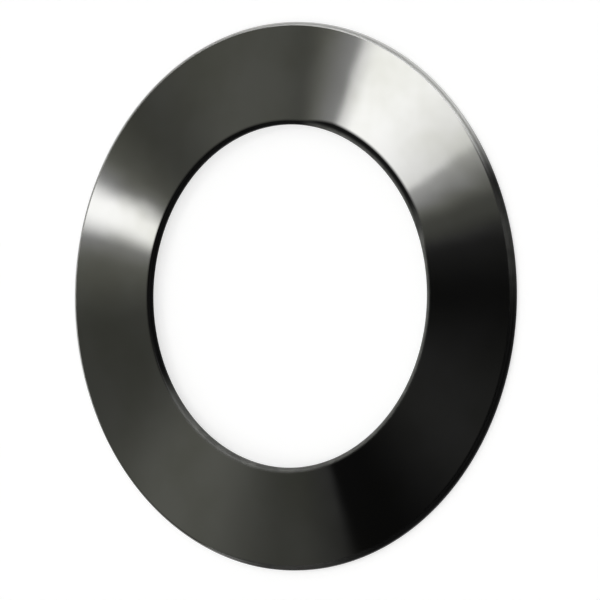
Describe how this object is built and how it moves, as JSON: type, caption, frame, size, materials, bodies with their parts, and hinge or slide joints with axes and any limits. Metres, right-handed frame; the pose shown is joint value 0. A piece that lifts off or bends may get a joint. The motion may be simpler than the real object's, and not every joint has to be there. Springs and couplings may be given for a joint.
{
  "type": "dished shim washer",
  "caption": "Thin ring of polished spring steel, pressed to a shallow dish, with a wide bore and rounded edges, that takes up play on a shaft.",
  "frame": {"origin": "on the washer's axis, at the level of the surface it lies on, which the foot of its rim touches", "axes": "+Z along the bore axis, out of the raised (convex) side; the washer is round, so X and Y are free"},
  "size_m": [0.04, 0.04, 0.0012],
  "materials": {
    "steel": "spring steel with a dark, mirror-like polish and very fine turning marks"
  },
  "bodies": {
    "root": {"washer": "steel"}
  },
  "joints": []
}
